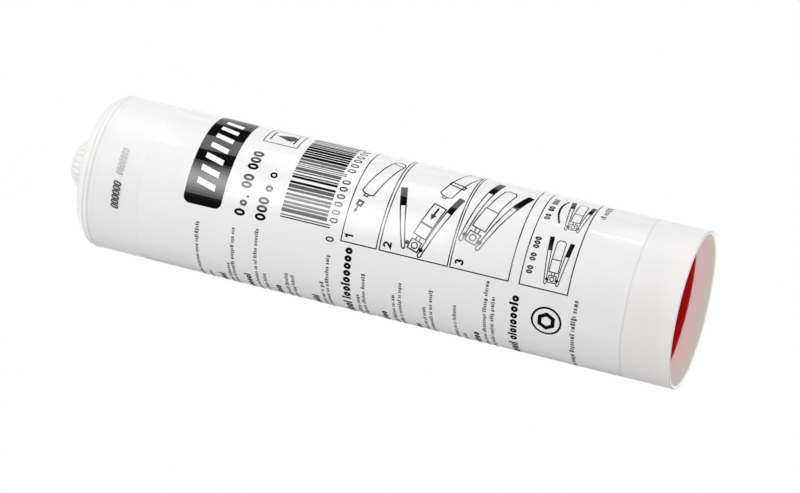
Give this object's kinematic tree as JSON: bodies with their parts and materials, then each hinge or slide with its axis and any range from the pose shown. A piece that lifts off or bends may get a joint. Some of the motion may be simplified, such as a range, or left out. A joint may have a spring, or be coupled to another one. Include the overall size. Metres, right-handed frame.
{
  "type": "grease cartridge",
  "caption": "Round plastic grease cartridge: open rear end with a cup-shaped follower piston, printed wrap label, rounded shoulder, threaded neck and ribbed screw cap.",
  "frame": {"origin": "centre of the open rear rim, in the plane that the cartridge stands on", "axes": "+Z along the tube's axis towards the screw cap; -Y is the side with the numbered pictures; the lines of print run round the tube"},
  "size_m": [0.0604, 0.0604, 0.2487],
  "materials": {
    "tube_plastic": "satin translucent white",
    "label_film": "gloss white film with dark print",
    "grease": "wet amber",
    "piston_plastic": "satin red",
    "liner_foam": "matte",
    "cap_plastic": "satin natural white"
  },
  "bodies": {
    "cartridge": {"cartridge_tube": "tube_plastic", "wrap_label": "label_film", "grease_fill": "grease"},
    "piston": {"follower_piston": "piston_plastic"},
    "liner": {"cap_liner": "liner_foam"},
    "cap": {"screw_cap": "cap_plastic"}
  },
  "joints": [
    {"name": "piston_slide", "type": "slide", "parent": "cartridge", "child": "piston", "axis": [0, 0, 1], "range_m": [0, 0.213], "deforming": ["grease_fill"]},
    {"name": "cap_lift", "type": "slide", "parent": "cartridge", "child": "liner", "axis": [0, 0, 1], "range_m": [0, 0.006]},
    {"name": "cap_turn", "type": "hinge", "parent": "liner", "child": "cap", "pos_m": [0, 0, 0.2379], "axis": [0, 0, 1], "range_deg": [0, 720]}
  ],
  "couplings": [
    {"joint": "cap_lift", "follows": "cap_turn", "m_per_rad": 0.00047746}
  ]
}
